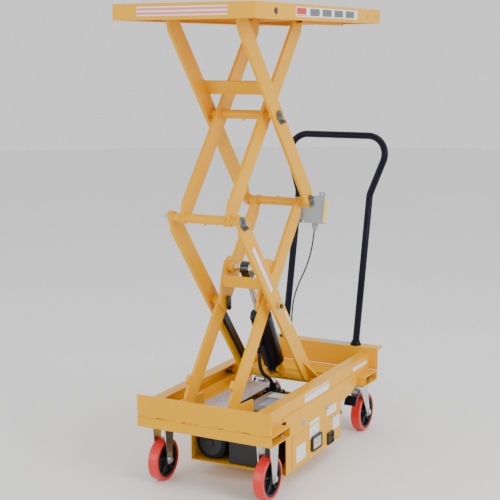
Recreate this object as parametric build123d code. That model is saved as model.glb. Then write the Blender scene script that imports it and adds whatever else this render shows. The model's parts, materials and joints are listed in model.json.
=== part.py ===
from build123d import *
import math
import os

# Mobile double-scissor lift table with a battery power pack.
# +X points to the front end, away from the push handle, +Y to the operator's right-hand panel side,
# +Z up.  Everything is in millimetres and is drawn with the lift fully raised.  Lengths along X are
# worked out from the centre of the platform; each node is then written with the origin on the floor
# under the middle of the whole machine.

os.makedirs("parts", exist_ok=True)

# ---- driving dimensions: scissor linkage ---------------------------------------------------------
ARM_LENGTH = 852.0
RAISED_ANGLE = 50.9
FRONT_PIVOT_X = 370.0
BASE_PIVOT_Z = 284.0
ARM_WIDTH = 66.0
OUTER_ARM_Y = (123.5, 135.0)
INNER_ARM_Y = (80.0, 91.0)
ARM_END = 24.0
ARM_SHORT_END = 17.0
ARM_TIP_HALF = 9.0
ARM_NECK = (4.0, 17.0)
ARM_SHOULDER = 40.0
PIN_R = 12.5
BUSH_CLEARANCE = 0.08
OPEN_CLEARANCE = 0.4
TUBE_R = 15.6
BOSS_R = 18.5

# ---- driving dimensions: platform ----------------------------------------------------------------
PLATFORM_LENGTH = 1010.0
PLATFORM_WIDTH = 520.0
PLATFORM_SKIRT = 52.0
PLATFORM_SHEET = 4.0
PIVOT_BELOW_TOP = 34.0
RETURN_FLANGE = 12.0

# ---- driving dimensions: chassis -----------------------------------------------------------------
CHASSIS_FRONT = 406.0
CHASSIS_REAR = -523.0
CHASSIS_HALF = 260.0
TUBE_BOTTOM = 208.0
TUBE_TOP = 246.0
FRONT_TUBE_DEPTH = 145.0
REAR_TUBE_DEPTH = 123.0
TUBE_WALL = 4.0
RAIL_OUTER = 225.0
RAIL_FLANGE = 44.0
RAIL_TOP = 308.0
RAIL_WALL = 5.0
ROLLER_R = 18.5
AXLE_PIN_R = 10.0
FRONT_PLATE_TOP = 323.0
REAR_PLATE_TOP = 331.0
PLATE = 6.0

# ---- driving dimensions: power pack under the rails ----------------------------------------------
TRAY_FRONT = 228.0
TRAY_REAR = -236.0
TRAY_BOTTOM = 51.0
TRAY_SIDE = -150.0
TRAY_SHEET = 3.0
LEVER_PIVOT = (-300.0, 214.0)

# ---- driving dimensions: casters and handle ------------------------------------------------------
WHEEL_R = 75.0
WHEEL_WIDTH = 38.0
WHEEL_TRACK = 206.0
FRONT_AXLE_X = 326.0
SWIVEL_X = -461.0
SWIVEL_TRAIL = 44.0
AXLE_R = 6.0
HANDLE_R = 14.0
HANDLE_HALF = 157.0
HANDLE_FOOT = (-548.0, 335.0)
HANDLE_KINK = (-676.0, 920.0)
HANDLE_TOP = (-712.0, 1153.0)
HANDLE_TOP_HALF = 240.0

# ---- worked-out positions ------------------------------------------------------------------------
ANGLE = math.radians(RAISED_ANGLE)
REACH = ARM_LENGTH * math.cos(ANGLE)
RISE = ARM_LENGTH * math.sin(ANGLE)
REAR_PIVOT_X = FRONT_PIVOT_X - REACH
MID_PIVOT_Z = BASE_PIVOT_Z + RISE
TOP_PIVOT_Z = BASE_PIVOT_Z + 2 * RISE
CENTRE_X = FRONT_PIVOT_X - REACH / 2
LOWER_CENTRE_Z = BASE_PIVOT_Z + RISE / 2
UPPER_CENTRE_Z = MID_PIVOT_Z + RISE / 2
PLATFORM_TOP = TOP_PIVOT_Z + PIVOT_BELOW_TOP
PLATFORM_UNDER = PLATFORM_TOP - PLATFORM_SHEET
SIDES = (("left", 1), ("right", -1))
MACHINE_MIDDLE_X = -112.0


def save(name, *shapes):
    """Write one named node; several shapes stay separate solids in it."""
    solids = []
    for shape in shapes:
        solids.extend((Pos(-MACHINE_MIDDLE_X, 0, 0) * shape).solids())
    export_step(Compound(children=solids), f"parts/{name}.step")


def box(x0, x1, y0, y1, z0, z1):
    """Axis-aligned block between two corners, given in any order."""
    size = (abs(x1 - x0), abs(y1 - y0), abs(z1 - z0))
    return Pos((x0 + x1) / 2, (y0 + y1) / 2, (z0 + z1) / 2) * Box(*size)


def bar_y(x, z, radius, y0, y1):
    """Round bar along Y."""
    return Pos(x, (y0 + y1) / 2, z) * Rot(90, 0, 0) * Cylinder(radius, abs(y1 - y0))


def bar_x(y, z, radius, x0, x1):
    """Round bar along X."""
    return Pos((x0 + x1) / 2, y, z) * Rot(0, 90, 0) * Cylinder(radius, abs(x1 - x0))


def bar_z(x, y, radius, z0, z1):
    """Round bar along Z."""
    return Pos(x, y, (z0 + z1) / 2) * Cylinder(radius, abs(z1 - z0))


def ring_y(x, z, outer, inner, y0, y1):
    """Tube or washer along Y."""
    return bar_y(x, z, outer, y0, y1) - bar_y(x, z, inner, y0 - 1, y1 + 1)


def mirrored_bar(x, z, radius, y0, y1, side):
    """Round bar between two distances from the centre plane, on one side."""
    ends = sorted((side * y0, side * y1))
    return bar_y(x, z, radius, ends[0], ends[1])


def mirrored_ring(x, z, outer, inner, y0, y1, side):
    """Ring between two distances from the centre plane, on one side."""
    ends = sorted((side * y0, side * y1))
    return ring_y(x, z, outer, inner, ends[0], ends[1])


def slab_xz(points, y0, y1):
    """Flat plate with an outline drawn in X and Z, filling y0 to y1."""
    low, high = min(y0, y1), max(y0, y1)
    face = Plane.XZ.offset(-low) * make_face(Polyline(*points, close=True))
    return extrude(face, amount=-(high - low))


def hexagon_y(x, z, across, y0, y1):
    """Hexagon head or nut with its axis along Y."""
    face = Plane.XZ.offset(-min(y0, y1)) * (Pos(x, z) * RegularPolygon(across / math.sqrt(3), 6))
    return extrude(face, amount=-abs(y1 - y0))


def hexagon_z(x, y, across, z0, z1):
    """Hexagon head or nut with its axis along Z."""
    face = Plane.XY.offset(min(z0, z1)) * (Pos(x, y) * RegularPolygon(across / math.sqrt(3), 6))
    return extrude(face, amount=abs(z1 - z0))


class Arm:
    """Local axes of a scissor arm: s runs along it from its lower pivot, o points to the front."""

    def __init__(self, x, z, leans_back):
        self.x = x
        self.z = z
        sign = -1 if leans_back else 1
        self.along = (sign * math.cos(ANGLE), math.sin(ANGLE))
        self.across = (math.sin(ANGLE), -sign * math.cos(ANGLE))

    def at(self, s, o):
        x = self.x + s * self.along[0] + o * self.across[0]
        z = self.z + s * self.along[1] + o * self.across[1]
        return (x, z)

    def outline(self, pairs):
        return [self.at(s, o) for s, o in pairs]


LOWER_INNER = Arm(FRONT_PIVOT_X, BASE_PIVOT_Z, True)
LOWER_OUTER = Arm(REAR_PIVOT_X, BASE_PIVOT_Z, False)
UPPER_INNER = Arm(FRONT_PIVOT_X, MID_PIVOT_Z, True)
UPPER_OUTER = Arm(REAR_PIVOT_X, MID_PIVOT_Z, False)


def arm_plate(arm, y0, y1, low_r, mid_r, high_r, near_end=ARM_END, far_end=ARM_END):
    """One flat-bar arm with tapered ends and its three pivot holes."""
    half = ARM_WIDTH / 2
    neck, neck_half = ARM_NECK
    edge = [
        (-near_end, ARM_TIP_HALF),
        (neck, neck_half),
        (ARM_SHOULDER, half),
        (ARM_LENGTH - ARM_SHOULDER, half),
        (ARM_LENGTH - neck, neck_half),
        (ARM_LENGTH + far_end, ARM_TIP_HALF),
    ]
    other_edge = [(s, -o) for s, o in reversed(edge)]
    plate = slab_xz(arm.outline(edge + other_edge), y0, y1)
    holes = ((0, low_r), (ARM_LENGTH / 2, mid_r), (ARM_LENGTH, high_r))
    for s, radius in holes:
        x, z = arm.at(s, 0)
        plate -= bar_y(x, z, radius, y0 - 50, y1 + 50)
    return plate


def lock_plate(x, z, direction, y0, y1):
    """Drop-shaped keeper over a pin end, with its narrow end along the arm."""
    reach, wide, narrow = 29, 17, 10
    dx, dz = direction
    bx, bz = x + dx * reach, z + dz * reach
    sides = [(x - dz * wide, z + dx * wide), (x + dz * wide, z - dx * wide),
             (bx + dz * narrow, bz - dx * narrow), (bx - dz * narrow, bz + dx * narrow)]
    plate = slab_xz(sides, y0, y1) + bar_y(x, z, wide, y0, y1) + bar_y(bx, bz, narrow, y0, y1)
    return plate, (bx, bz)


def through_pin(x, z, direction):
    """Pivot shaft across both outer arms: tapered nut on the right, keeper and bolt on the left."""
    outer = OUTER_ARM_Y[1]
    shaft = bar_y(x, z, PIN_R, -outer - 1, outer + 1)
    nut = hexagon_y(x, z, 26, -outer - 13, -outer - 1)
    nut += Pos(x, -outer - 18, z) * Rot(90, 0, 0) * Cone(11, 6, 10)
    keeper, (bx, bz) = lock_plate(x, z, direction, outer + 1, outer + 6)
    eye = ring_y(x, z, 9, 5, outer + 6, outer + 8)
    bolt = hexagon_y(bx, bz, 13, outer + 6, outer + 13) + bar_y(bx, bz, 4, outer + 13, outer + 19)
    return [shaft, nut, keeper + eye, bolt]


def spacers(x, z, clearance):
    """Sleeve from the right inner arm out to the outer arm, and a short ring on the left inner arm."""
    gap = OUTER_ARM_Y[0] - 1.6
    inner = INNER_ARM_Y[1]
    sleeve = ring_y(x, z, TUBE_R, PIN_R + clearance, -gap, -inner)
    ring = ring_y(x, z, BOSS_R, PIN_R + clearance, inner, inner + 9)
    return [sleeve, ring]


def outer_bosses(x, z):
    """Boss rings on the inner faces of the outer arms: short on the right, long on the left."""
    inner = OUTER_ARM_Y[0]
    short_boss = ring_y(x, z, BOSS_R + 2, TUBE_R + 0.6, -inner, -inner + 6)
    long_boss = ring_y(x, z, TUBE_R, PIN_R, INNER_ARM_Y[1] + 10.6, inner)
    return [short_boss, long_boss]


def grease_nipple(x, y, z, up):
    """Grease nipple on a tube wall, pointing up (1) or down (-1)."""
    stem = bar_z(x, y, 3, min(z - 2 * up, z + 6 * up), max(z - 2 * up, z + 6 * up))
    return stem + bar_z(x, y, 4.2, min(z + 2 * up, z + 4 * up), max(z + 2 * up, z + 4 * up))


# ---- chassis weldment ----------------------------------------------------------------------------
def make_rail(side):
    """Roller channel, open towards the middle, with a raised hardened running strip."""
    outer = side * RAIL_OUTER
    web = side * (RAIL_OUTER - RAIL_WALL)
    lip = side * (RAIL_OUTER - RAIL_FLANGE)
    x0, x1 = CHASSIS_REAR, CHASSIS_FRONT - PLATE
    rail = box(x0, x1, web, outer, TUBE_TOP, RAIL_TOP)
    rail += box(x0, x1, lip, outer, TUBE_TOP, TUBE_TOP + RAIL_WALL)
    rail += box(x0, x1, lip, outer, RAIL_TOP - RAIL_WALL, RAIL_TOP)
    floor = BASE_PIVOT_Z - ROLLER_R - 0.3
    strip = box(x0 + 20, x1 - 250, lip + side * 2, web, TUBE_TOP + RAIL_WALL, floor)
    return rail, strip


def make_crosstube(x0, x1):
    """Flat rectangular cross tube, open at both ends, with its caster bolt holes."""
    tube = box(x0, x1, -CHASSIS_HALF, CHASSIS_HALF, TUBE_BOTTOM, TUBE_TOP)
    wall = TUBE_WALL
    bore = box(x0 + wall, x1 - wall, -CHASSIS_HALF - 1, CHASSIS_HALF + 1,
               TUBE_BOTTOM + wall, TUBE_TOP - wall)
    outer_edges = tube.edges().filter_by(Axis.Y)
    return fillet(outer_edges, 5) - bore


def make_front_plate():
    plate = box(CHASSIS_FRONT - PLATE, CHASSIS_FRONT, -CHASSIS_HALF, CHASSIS_HALF,
                TUBE_TOP + 4, FRONT_PLATE_TOP)
    weld_gap = 24
    for n in range(5):
        y = -208 + n * 104
        plate += box(CHASSIS_FRONT - PLATE, CHASSIS_FRONT, y - weld_gap, y + weld_gap,
                     TUBE_TOP, TUBE_TOP + 4)
    return plate


def make_rear_plate():
    """Rear wall with a wide top flange that carries the handle, and a low inner ledge."""
    x = CHASSIS_REAR
    wall = box(x - PLATE, x, -CHASSIS_HALF, CHASSIS_HALF, TUBE_TOP, REAR_PLATE_TOP)
    wall += box(x - 56, x, -CHASSIS_HALF, CHASSIS_HALF, REAR_PLATE_TOP - PLATE, REAR_PLATE_TOP)
    return wall


def make_base_pivots():
    """Two upright brackets on the front tube and the shaft that the lower inner arms turn on."""
    pieces = []
    x = FRONT_PIVOT_X
    outline = [(x + 30, TUBE_TOP), (x + 30, 318), (230, 307), (226, 264), (262, TUBE_TOP)]
    for _, side in SIDES:
        bracket = slab_xz(outline, side * 94, side * 102)
        pieces.append(bracket - bar_y(x, BASE_PIVOT_Z, PIN_R, -110, 110))
    shaft = bar_y(x, BASE_PIVOT_Z, PIN_R, -106, 106)
    return pieces + [shaft]


# ---- power pack ----------------------------------------------------------------------------------
def make_side_panel():
    """Tall sheet below the left rail that closes the power pack, with the lever's pivot stud."""
    outline = [
        (TRAY_FRONT, TRAY_BOTTOM), (TRAY_REAR, TRAY_BOTTOM), (TRAY_REAR, 186), (-333, 197),
        (-391, 213), (-398, 262), (252, 262), (252, TUBE_TOP + 2), (TRAY_FRONT, TUBE_TOP + 2),
    ]
    panel = slab_xz(outline, RAIL_OUTER, RAIL_OUTER + TRAY_SHEET)
    return panel + bar_y(LEVER_PIVOT[0], LEVER_PIVOT[1], 5, 181, RAIL_OUTER)


def make_power_tray():
    """Folded tray, open at the front, hung from the right rail and the side panel."""
    sheet = TRAY_SHEET
    tray = box(TRAY_REAR, TRAY_FRONT, TRAY_SIDE, RAIL_OUTER, TRAY_BOTTOM, TRAY_BOTTOM + sheet)
    tray += box(TRAY_REAR, TRAY_FRONT, TRAY_SIDE, TRAY_SIDE + sheet, TRAY_BOTTOM, TUBE_TOP)
    tray += box(TRAY_REAR, TRAY_REAR + sheet, TRAY_SIDE, RAIL_OUTER, TRAY_BOTTOM, 200)
    tray += box(TRAY_REAR, TRAY_FRONT, TRAY_SIDE - 36, TRAY_SIDE + sheet, TUBE_TOP - sheet, TUBE_TOP)
    return tray


def make_hydraulic_unit():
    """Electric motor, pump manifold and oil tank in one line along the tray."""
    motor = bar_x(-78, 118, 60, 40, 212)
    motor = fillet(motor.edges().filter_by(GeomType.CIRCLE), 5)
    manifold = box(-30, 40, -128, -28, 70, 178)
    tank = fillet(box(-222, -30, -136, -20, 62, 176).edges(), 8)
    riser = box(-158, -96, -28, 34, 176, 232) + bar_z(-124, 0, 14, 232, 260)
    riser += box(-150, -104, -20, 20, 232, 246)
    return [motor, manifold, tank, riser]


def make_battery():
    case = fillet(box(-40, 214, -6, 168, 56, 196).edges().filter_by(Axis.Z), 4)
    posts = [bar_z(x, 30, 8, 196, 210) for x in (10, 150)]
    return [case] + posts


def make_charger():
    """Charger box above the battery, with cooling ribs at its rear."""
    case = box(-60, 160, 20, 172, 212, 248)
    for n in range(6):
        case += box(-72, -60, 30 + n * 24, 42 + n * 24, 214, 244)
    return case


def make_power_covers():
    """Clear sheet over the pump side of the tray and the screwed access cover on the panel."""
    top_sheet = box(-190, 216, TRAY_SIDE + 3, -32, 236, 238.5)
    panel_face = RAIL_OUTER + TRAY_SHEET
    return [top_sheet, box(42, 186, panel_face, panel_face + 2, 60, 174)]


def make_panel_instruments():
    """Battery gauge and charging socket on the side panel."""
    y = RAIL_OUTER + TRAY_SHEET
    gauge = fillet(box(-54, 30, y, y + 9, 74, 130).edges().filter_by(Axis.Y), 10)
    gauge -= box(-46, 22, y + 7, y + 10, 82, 122)
    socket = box(-162, -112, y, y + 8, 58, 102)
    for z in (69, 91):
        socket -= box(-156, -118, y + 3, y + 9, z - 7, z + 7)
    return [gauge, socket]


def make_lowering_lever():
    """Emergency lowering lever behind the power pack: hub, arm and knob."""
    x, z = LEVER_PIVOT
    y = 190
    hub = ring_y(x, z, 11, 5 + BUSH_CLEARANCE, y - 7, y + 7)
    arm = slab_xz([(x - 4, z - 8), (x + 6, z - 8), (x - 6, z - 84), (x - 14, z - 84)], y - 3, y + 3)
    knob = Pos(x - 11, y, z - 92) * Sphere(11)
    return hub + arm + knob


# ---- casters -------------------------------------------------------------------------------------
def make_wheel(x, side):
    """Polyurethane tread bonded on a spoked core with a steel bore."""
    y = side * WHEEL_TRACK
    half = WHEEL_WIDTH / 2
    tread = ring_y(x, WHEEL_R, WHEEL_R, WHEEL_R - 11, y - half, y + half)
    tread = fillet(tread.edges().group_by(SortBy.LENGTH)[-1], 4)
    core = ring_y(x, WHEEL_R, WHEEL_R - 11, WHEEL_R - 19, y - half + 2, y + half - 2)
    core += ring_y(x, WHEEL_R, WHEEL_R - 15, AXLE_R + BUSH_CLEARANCE, y - 5, y + 5)
    core += ring_y(x, WHEEL_R, 20, AXLE_R + BUSH_CLEARANCE, y - half - 1, y + half + 1)
    for n in range(5):
        rib = Pos(x, y, WHEEL_R) * Rot(0, n * 72, 0) * Pos(0, 0, 37) * Box(5, WHEEL_WIDTH - 8, 42)
        core += rib - bar_y(x, WHEEL_R, AXLE_R + BUSH_CLEARANCE, y - 40, y + 40)
    return [tread, core]


def fork_leg(x_top, x_axle, y0, y1, top):
    """Pressed fork leg: wide at the crown and rounded around the axle."""
    outline = [(x_top - 30, top), (x_top + 30, top), (x_axle + 15, WHEEL_R), (x_axle - 15, WHEEL_R)]
    leg = slab_xz(outline, y0, y1)
    return leg + bar_y(x_axle, WHEEL_R, 15, y0, y1)


def make_front_fork(side):
    """Rigid caster: top plate, two legs and the axle bolt."""
    x = FRONT_AXLE_X
    y = side * WHEEL_TRACK
    top = TUBE_BOTTOM - 5
    fork = box(x - 55, x + 55, y - 45, y + 45, top, TUBE_BOTTOM)
    for sign in (1, -1):
        fork += fork_leg(x, x, y + sign * 23, y + sign * 27, top)
    axle = bar_y(x, WHEEL_R, AXLE_R, y - 27, y + 27)
    return fork - axle, caster_axle(x, y)


def caster_axle(x, y):
    """Axle bolt with a hexagon head and a nut."""
    axle = bar_y(x, WHEEL_R, AXLE_R, y - 32, y + 32)
    axle += hexagon_y(x, WHEEL_R, 19, y + 27, y + 34)
    axle += hexagon_y(x, WHEEL_R, 19, y - 35, y - 27)
    return axle


def make_swivel_plate(side):
    """Fixed plate of a swivel caster with its king pin."""
    y = side * WHEEL_TRACK
    plate = box(SWIVEL_X - 55, SWIVEL_X + 55, y - 45, y + 45, TUBE_BOTTOM - 5, TUBE_BOTTOM)
    plate += bar_z(SWIVEL_X, y, 30, TUBE_BOTTOM - 12, TUBE_BOTTOM - 5)
    return plate + bar_z(SWIVEL_X, y, 8, TUBE_BOTTOM - 28, TUBE_BOTTOM - 12)


def make_swivel_fork(side):
    """Turning fork of a swivel caster with its crown race and axle bolt."""
    x = SWIVEL_X - SWIVEL_TRAIL
    y = side * WHEEL_TRACK
    top = TUBE_BOTTOM - 22
    crown = box(SWIVEL_X - 34, SWIVEL_X + 34, y - 27, y + 27, top - 4, top)
    crown += bar_z(SWIVEL_X, y, 32, top, TUBE_BOTTOM - 12.4)
    crown -= bar_z(SWIVEL_X, y, 8 + BUSH_CLEARANCE, 150, TUBE_BOTTOM)
    for sign in (1, -1):
        crown += fork_leg(SWIVEL_X, x, y + sign * 23, y + sign * 27, top)
    crown += ring_y(SWIVEL_X + 40, 178, 7, 3.6, y - 20, y + 20)
    crown += box(SWIVEL_X + 28, SWIVEL_X + 35, y - 20, y + 20, 174, top)
    return crown - bar_y(x, WHEEL_R, AXLE_R, y - 40, y + 40), caster_axle(x, y)


def make_brake_pedal(side):
    """Foot pedal of the total brake: two cheeks on a hinge pin and a broad tread."""
    y = side * WHEEL_TRACK
    x = SWIVEL_X + 40
    pedal = bar_y(x, 178, 3.5, y - 24, y + 24)
    for sign in (1, -1):
        pedal += slab_xz([(x - 5, 184), (x + 6, 185), (x + 30, 160), (x + 24, 152), (x - 3, 172)],
                         y + sign * 20.6, y + sign * 24)
    pedal += slab_xz([(x + 20, 166), (x + 28, 166), (x + 47, 134), (x + 40, 130)], y - 24, y + 24)
    return pedal


# ---- handle and pendant control ------------------------------------------------------------------
def make_push_handle():
    """One bent tube standing in two collars on the rear flange, beside the cord's gland."""
    foot, kink, top = HANDLE_FOOT, HANDLE_KINK, HANDLE_TOP
    route = [
        (foot[0], HANDLE_HALF, foot[1]), (kink[0], HANDLE_HALF, kink[1]),
        (top[0], HANDLE_TOP_HALF, top[1]), (top[0], -HANDLE_TOP_HALF, top[1]),
        (kink[0], -HANDLE_HALF, kink[1]), (foot[0], -HANDLE_HALF, foot[1]),
    ]
    path = FilletPolyline(*route, radius=(60, 75, 75, 60))
    start = Plane(origin=path @ 0, z_dir=path % 0)
    tube = sweep(start * Circle(HANDLE_R), path=path)
    collars = []
    for _, side in SIDES:
        y = side * HANDLE_HALF
        collar = bar_z(foot[0], y, 22, REAR_PLATE_TOP, REAR_PLATE_TOP + 6)
        collar += Pos(foot[0], y, REAR_PLATE_TOP + 12) * Cone(20, HANDLE_R + 3, 12)
        collars.append(collar - tube)
    gland = bar_z(CORD_ROUTE[-1][0], CORD_ROUTE[-1][1], 10, REAR_PLATE_TOP, REAR_PLATE_TOP + 8)
    gland += bar_z(CORD_ROUTE[-1][0], CORD_ROUTE[-1][1], 7, REAR_PLATE_TOP, REAR_PLATE_TOP + 20)
    return [tube, gland] + collars


LEG_TILT = math.degrees(math.atan2(HANDLE_FOOT[0] - HANDLE_KINK[0], HANDLE_KINK[1] - HANDLE_FOOT[1]))
PENDANT_Z = 849.0
PENDANT_X = HANDLE_FOOT[0] - (PENDANT_Z - HANDLE_FOOT[1]) * math.tan(math.radians(LEG_TILT))
PENDANT = Pos(PENDANT_X, 0, PENDANT_Z) * Rot(0, -LEG_TILT, 0)
PLATE_FACE = -HANDLE_R - 1.2
CASE_DEPTH = 34.0
BUTTONS = (("up_button", -64.0, 24.0, 11.0), ("down_button", -64.0, -10.0, 11.0),
           ("stop_button", -104.0, 8.0, 16.0))


def make_pendant_plate():
    """Sheet back plate with a hook tab, clamped to the handle leg by two straps."""
    plate = box(PLATE_FACE - 2, PLATE_FACE, -172, -44, -57, 57)
    plate += box(PLATE_FACE - 2, PLATE_FACE, -72, -44, 57, 73)
    for y, z in ((-58, 64), (-132, -50)):
        plate -= bar_x(y, z, 4, PLATE_FACE - 5, PLATE_FACE + 3)
    for z in (-34, 34):
        strap = bar_z(0, -HANDLE_HALF, HANDLE_R + 2.5, z - 8, z + 8)
        plate += strap - bar_z(0, -HANDLE_HALF, HANDLE_R + 0.1, z - 9, z + 9)
    return PENDANT * plate


def make_pendant_case():
    """Yellow control casing behind the plate with button bores, and its grey cable gland."""
    front = PLATE_FACE - 2
    case = fillet(box(front - CASE_DEPTH, front, -126, -42, -54, 50).edges().filter_by(Axis.X), 7)
    for _, y, z, radius in BUTTONS:
        case -= bar_x(y, z, radius + 0.4, front - CASE_DEPTH - 1, front - CASE_DEPTH + 9)
    gland = bar_z(front - 17, -85, 13, -66, -54)
    gland += Pos(front - 17, -85, -76) * Cone(6.5, 12, 20)
    gland -= bar_z(front - 17, -85, 3.4, -90, -60)
    return [PENDANT * case, PENDANT * gland]


def make_button(y, z, radius):
    """Push button standing proud of the casing face, with room to travel inwards."""
    face = PLATE_FACE - 2 - CASE_DEPTH
    height = 7.0 if radius < 14 else 14.0
    button = bar_x(y, z, radius, face - height, face + 2)
    return PENDANT * fillet(button.edges().group_by(Axis.X)[0], 2)


CORD_R = 3.0
CORD_ROUTE = [
    (-677.0, -85.0, 772.0), (-664.0, -86.0, 712.0), (-648.0, -92.0, 655.0), (-630.0, -105.0, 600.0),
    (-606.0, -122.0, 548.0), (-586.0, -135.0, 492.0), (-573.0, -137.0, 436.0), (-560.0, -134.0, 386.0),
    (-555.0, -129.0, 342.0),
]


def cord_radii(route):
    """Bend radius at each inner point: 0.45 of the shorter run over the half-turn tangent."""
    radii = []
    for before, here, after in zip(route, route[1:], route[2:]):
        first = Vector(*here) - Vector(*before)
        second = Vector(*after) - Vector(*here)
        half_turn = math.radians(first.get_angle(second)) / 2
        radii.append(0.45 * min(first.length, second.length) / math.tan(half_turn))
    return radii


def make_cord(name, route, radius):
    radii = cord_radii(route)
    print(name, "bend radii", [round(value) for value in radii])
    path = FilletPolyline(*route, radius=tuple(radii))
    start = Plane(origin=path @ 0, z_dir=path % 0)
    return sweep(start * Circle(radius), path=path)


# ---- hydraulic cylinder --------------------------------------------------------------------------
PORT_S = 142.0
HOSE_R = 7.0
HOSE_ROUTE = [
    (-14.0, 0.0, 404.0), (-14.0, 0.0, 372.0), (-24.0, 0.0, 340.0), (-46.0, 0.0, 314.0),
    (-78.0, 0.0, 296.0), (-106.0, 0.0, 278.0), (-124.0, 0.0, 254.0),
]
CYL_FOOT = (-143.0, 322.0)
CYL_HEAD = (81.0, 735.0)
CYL_ANGLE = math.degrees(math.atan2(CYL_HEAD[1] - CYL_FOOT[1], CYL_HEAD[0] - CYL_FOOT[0]))
CYL_LENGTH = math.dist(CYL_FOOT, CYL_HEAD)
CYLINDER = Pos(CYL_FOOT[0], 0, CYL_FOOT[1]) * Rot(0, 90 - CYL_ANGLE, 0)
BARREL_R = 40.0
BORE_R = 32.0
ROD_R = 16.0
BARREL_TOP = 264.0
EYE_HALF = 16.0
CHEEK_Y = (70.0, 79.4)


def make_barrel():
    """Cylinder barrel with its foot eye, gland and front oil port with a hose elbow."""
    tube = bar_z(0, 0, BARREL_R, 30, BARREL_TOP - 14) - bar_z(0, 0, BORE_R, 40, BARREL_TOP)
    gland = bar_z(0, 0, BARREL_R - 5, BARREL_TOP - 14, BARREL_TOP)
    gland -= bar_z(0, 0, ROD_R + 0.3, BARREL_TOP - 20, BARREL_TOP + 1)
    eye = bar_y(0, 0, 22, -17, 17) + box(-14, 14, -17, 17, 6, 34)
    eye -= bar_y(0, 0, 11 + BUSH_CLEARANCE, -20, 20)
    port = bar_x(0, PORT_S, 8, BARREL_R - 4, 70)
    elbow = bar_z(HOSE_ROUTE[0][0], 0, 10, HOSE_ROUTE[0][2], HOSE_ROUTE[0][2] + 18)
    return CYLINDER * (tube + gland + eye + port) + elbow


def make_rod():
    """Chrome rod with its piston inside the barrel and an eye at the top."""
    piston_top = BARREL_TOP - 30
    rod = bar_z(0, 0, ROD_R, piston_top - 24, CYL_LENGTH - 20)
    rod += bar_z(0, 0, BORE_R - 0.3, piston_top - 24, piston_top)
    head = bar_y(0, CYL_LENGTH, 24, -EYE_HALF, EYE_HALF)
    head += box(-22, 22, -EYE_HALF, EYE_HALF, CYL_LENGTH - 40, CYL_LENGTH)
    return [CYLINDER * rod, CYLINDER * (head - bar_z(0, 0, ROD_R, 0, CYL_LENGTH - 20))]


def make_cylinder_bracket():
    """Tall plates inside the lower inner arms that hold the rod pin, tied by a cross plate."""
    low, high = CHEEK_Y
    arm = INNER_ARM_Y[0]
    ex, ez = CYL_HEAD
    outline = LOWER_INNER.outline([(390, 20), (396, 36), (452, 66), (532, 93), (566, 78), (590, 20),
                                   (590, -24), (390, -24)])
    foot = LOWER_INNER.outline([(390, 24), (590, 24), (590, -24), (390, -24)])
    pieces = []
    for _, side in SIDES:
        cheek = slab_xz(outline, side * low, side * high) + mirrored_bar(ex, ez, 27, low, high, side)
        cheek += slab_xz(foot, side * high, side * arm)
        cheek -= bar_y(ex, ez, 12, -90, 90) + bar_y(CENTRE_X, LOWER_CENTRE_Z, PIN_R, -90, 90)
        pieces.append(cheek)
        pieces.append(mirrored_ring(ex, ez, 22, 12, low - 22, low, side))
        pieces.append(mirrored_bar(ex, ez, 12, EYE_HALF + 2, high, side))
    tie_x, tie_low, tie_high = 126, 672, 712
    pieces.append(box(tie_x, tie_x + 6, -low, low, tie_low, tie_high))
    return pieces


# ---- scissor stages ------------------------------------------------------------------------------
def make_inner_tube(x, z, nipple_up=True):
    """Cross tube between a pair of inner arms with end collars and a grease nipple."""
    inner = INNER_ARM_Y[0]
    tube = bar_y(x, z, TUBE_R, -inner, inner)
    for _, side in SIDES:
        tube += mirrored_bar(x, z, BOSS_R, inner - 7, inner, side)
    nipple_z = z + TUBE_R if nipple_up else z - TUBE_R
    tube += grease_nipple(x, 0, nipple_z, 1 if nipple_up else -1)
    return tube - bar_y(x, z, PIN_R + OPEN_CLEARANCE, -inner - 1, inner + 1)


def make_lower_outer_tube():
    """Rear cross tube of the lower outer arms: tube, outboard stubs with gussets, cylinder lugs."""
    x, z = REAR_PIVOT_X, BASE_PIVOT_Z
    inner, outer = OUTER_ARM_Y
    tube = ring_y(x, z, TUBE_R, AXLE_PIN_R, -inner, inner)
    lugs = LOWER_OUTER.outline([(6, -20), (6, 12), (60, 24), (68, 6), (60, -16)])
    for sign in (1, -1):
        lug = slab_xz(lugs, sign * 18, sign * 26)
        tube += lug - bar_y(x, z, 12, -30, 30)
    foot_pin = bar_y(CYL_FOOT[0], CYL_FOOT[1], 11, -30, 30)
    pieces = [tube - foot_pin, foot_pin]
    for _, side in SIDES:
        stub = mirrored_ring(x, z, 15, AXLE_PIN_R, outer, 180, side)
        normal = (side * math.sin(ANGLE), 0, -side * math.cos(ANGLE))
        plane = Plane(origin=(x, 0, z), x_dir=(0, side, 0), z_dir=normal)
        flat = plane * make_face(Polyline((outer, 12), (outer, 108), (178, 16), (178, 12), close=True))
        gusset = extrude(flat, amount=3, both=True)
        pieces.append(stub + (gusset - bar_y(x, z, 12, -200, 200)))
        pieces.append(mirrored_ring(x, z, 17, AXLE_PIN_R, 181, 189, side))
    return pieces


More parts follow.
